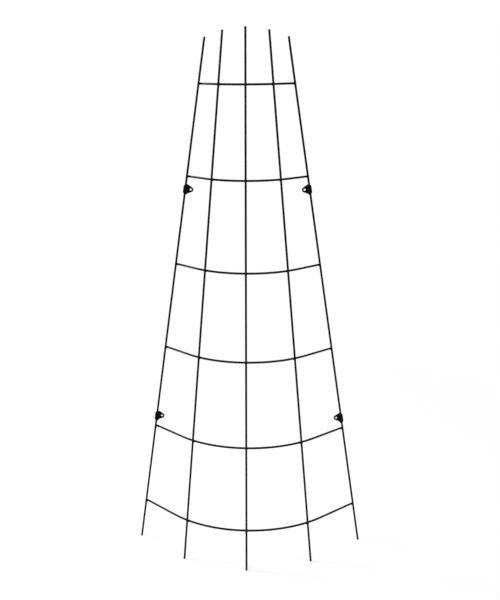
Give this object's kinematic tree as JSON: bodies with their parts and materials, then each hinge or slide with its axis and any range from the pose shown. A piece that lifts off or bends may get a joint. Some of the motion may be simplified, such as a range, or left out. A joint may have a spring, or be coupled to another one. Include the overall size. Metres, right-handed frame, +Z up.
{
  "type": "fan trellis",
  "caption": "Bowed wire fan trellis: uprights spread downwards over welded half-round hoops that stand out from a wall, screwed to a wall by plastic clips on its outer wires.",
  "frame": {"origin": "on the ground, in the middle of the trellis's overall width and depth, with the backs of the wall clips at the rear of that depth", "axes": "+Z up, +Y towards the wall that the clips are screwed to, -Y out of the wall through the bowed front, +X to the viewer's right"},
  "size_m": [0.5416, 0.1542, 1.2127],
  "materials": {
    "coated_wire": "satin black coat over steel wire",
    "clip_plastic": "black moulded plastic, low sheen"
  },
  "bodies": {
    "trellis_frame": {"upright_outer_left": "coated_wire", "upright_inner_left": "coated_wire", "upright_centre": "coated_wire", "upright_inner_right": "coated_wire", "upright_outer_right": "coated_wire", "hoop_top": "coated_wire", "hoop_second": "coated_wire", "hoop_third": "coated_wire", "hoop_fourth": "coated_wire", "hoop_fifth": "coated_wire", "hoop_bottom": "coated_wire", "weld_top_outer_left": "coated_wire", "weld_top_inner_left": "coated_wire", "weld_top_centre": "coated_wire", "weld_top_inner_right": "coated_wire", "weld_top_outer_right": "coated_wire", "weld_second_outer_left": "coated_wire", "weld_second_inner_left": "coated_wire", "weld_second_centre": "coated_wire", "weld_second_inner_right": "coated_wire", "weld_second_outer_right": "coated_wire", "weld_third_outer_left": "coated_wire", "weld_third_inner_left": "coated_wire", "weld_third_centre": "coated_wire", "weld_third_inner_right": "coated_wire", "weld_third_outer_right": "coated_wire", "weld_fourth_outer_left": "coated_wire", "weld_fourth_inner_left": "coated_wire", "weld_fourth_centre": "coated_wire", "weld_fourth_inner_right": "coated_wire", "weld_fourth_outer_right": "coated_wire", "weld_fifth_outer_left": "coated_wire", "weld_fifth_inner_left": "coated_wire", "weld_fifth_centre": "coated_wire", "weld_fifth_inner_right": "coated_wire", "weld_fifth_outer_right": "coated_wire", "weld_bottom_outer_left": "coated_wire", "weld_bottom_inner_left": "coated_wire", "weld_bottom_centre": "coated_wire", "weld_bottom_inner_right": "coated_wire", "weld_bottom_outer_right": "coated_wire"},
    "clip_upper_left": {"wall_clip_upper_left": "clip_plastic"},
    "clip_upper_right": {"wall_clip_upper_right": "clip_plastic"},
    "clip_lower_left": {"wall_clip_lower_left": "clip_plastic"},
    "clip_lower_right": {"wall_clip_lower_right": "clip_plastic"}
  },
  "joints": [
    {"name": "clip_upper_left_turn", "type": "hinge", "parent": "trellis_frame", "child": "clip_upper_left", "pos_m": [-0.1382, 0.07017, 0.868], "axis": [0.1483, 0, 0.9889], "continuous": true},
    {"name": "clip_upper_right_turn", "type": "hinge", "parent": "trellis_frame", "child": "clip_upper_right", "pos_m": [0.1382, 0.07017, 0.868], "axis": [-0.1483, 0, 0.9889], "continuous": true},
    {"name": "clip_lower_left_turn", "type": "hinge", "parent": "trellis_frame", "child": "clip_lower_left", "pos_m": [-0.21995, 0.07017, 0.323], "axis": [0.1483, 0, 0.9889], "continuous": true},
    {"name": "clip_lower_right_turn", "type": "hinge", "parent": "trellis_frame", "child": "clip_lower_right", "pos_m": [0.21995, 0.07017, 0.323], "axis": [-0.1483, 0, 0.9889], "continuous": true}
  ]
}
